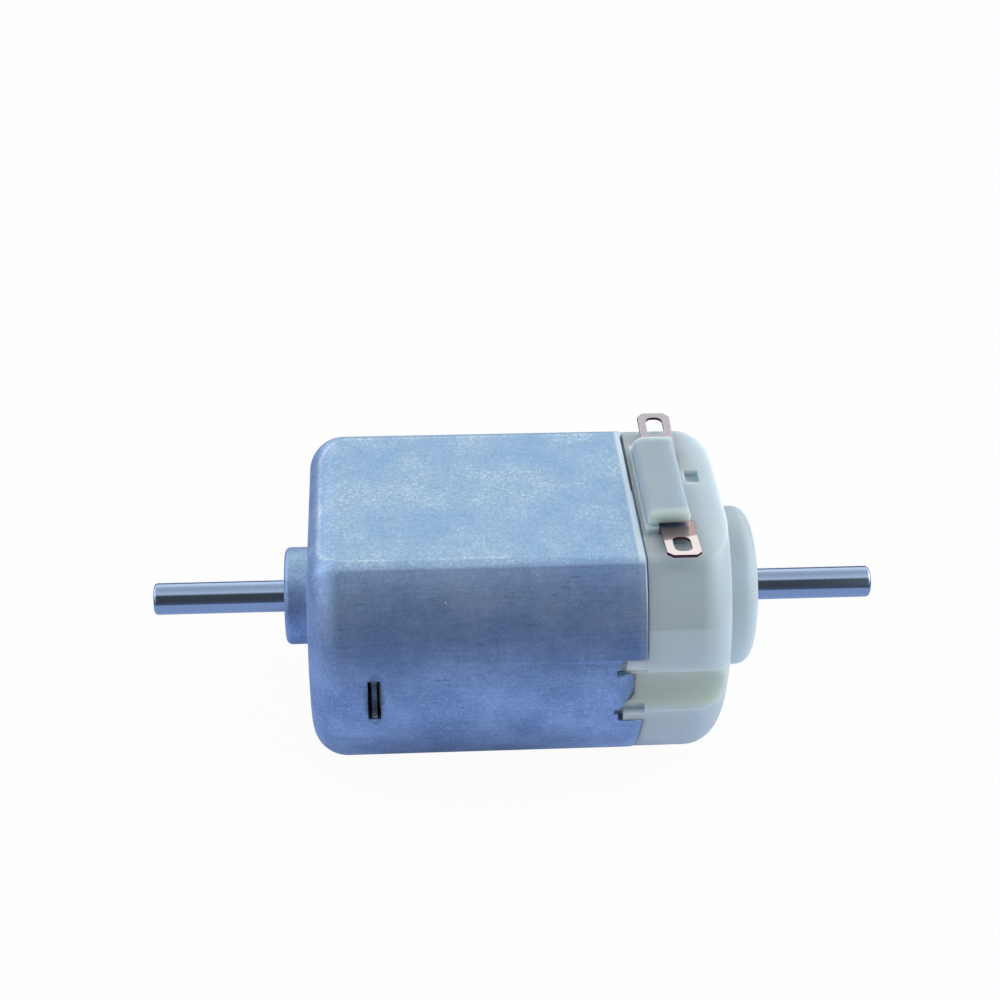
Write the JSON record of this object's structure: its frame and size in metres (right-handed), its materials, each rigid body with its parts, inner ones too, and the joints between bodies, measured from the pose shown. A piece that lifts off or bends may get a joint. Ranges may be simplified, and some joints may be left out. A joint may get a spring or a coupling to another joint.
{
  "type": "dc motor",
  "caption": "Small flat-sided brushed DC motor with a shaft out of both ends, a drawn steel can, a nylon end cap and copper solder tags.",
  "frame": {"origin": "on the shaft's axis, in the plane of the can's front face, at the foot of the front boss", "axes": "+X along the shaft towards the end cap, +Z out of the top flat where the solder tags stand, +Y towards the back tag"},
  "size_m": [0.0453, 0.02, 0.0165],
  "materials": {
    "plated_steel": "bright zinc-plated drawn sheet, fine speckle and handling scratches",
    "milky_nylon": "moulded natural nylon, milky and slightly translucent",
    "sintered_bronze": "oiled sintered bronze",
    "ferrite": "ground ferrite",
    "spring_steel": "blued spring strip",
    "tag_copper": "stamped copper strip",
    "phosphor_bronze": "rolled leaf",
    "brush_carbon": "pressed carbon",
    "polished_steel": "ground and polished",
    "washer_fibre": "punched fibre",
    "phenolic": "moulded phenolic",
    "core_steel": "punched electrical steel",
    "enamelled_copper": "enamelled wire",
    "commutator_copper": "turned copper"
  },
  "bodies": {
    "stator": {"motor_can": "plated_steel", "end_cap": "milky_nylon", "front_bush": "sintered_bronze", "rear_bush": "sintered_bronze", "magnet_front": "ferrite", "magnet_back": "ferrite", "magnet_spring": "spring_steel", "terminal_front": "tag_copper", "terminal_back": "tag_copper", "brush_arm_front": "phosphor_bronze", "brush_arm_back": "phosphor_bronze", "brush_front": "brush_carbon", "brush_back": "brush_carbon"},
    "rotor": {"shaft": "polished_steel", "front_thrust_washer": "washer_fibre", "rear_thrust_washer": "washer_fibre", "shaft_spacer": "phenolic", "core_laminations": "core_steel", "insulator_front": "washer_fibre", "insulator_rear": "washer_fibre", "coil_1": "enamelled_copper", "coil_2": "enamelled_copper", "coil_3": "enamelled_copper", "commutator_sleeve": "phenolic", "commutator_segment_1": "commutator_copper", "commutator_segment_2": "commutator_copper", "commutator_segment_3": "commutator_copper", "commutator_ring": "phenolic"}
  },
  "joints": [
    {"name": "rotor_spin", "type": "hinge", "parent": "stator", "child": "rotor", "pos_m": [0, 0, 0], "axis": [1, 0, 0], "continuous": true}
  ]
}
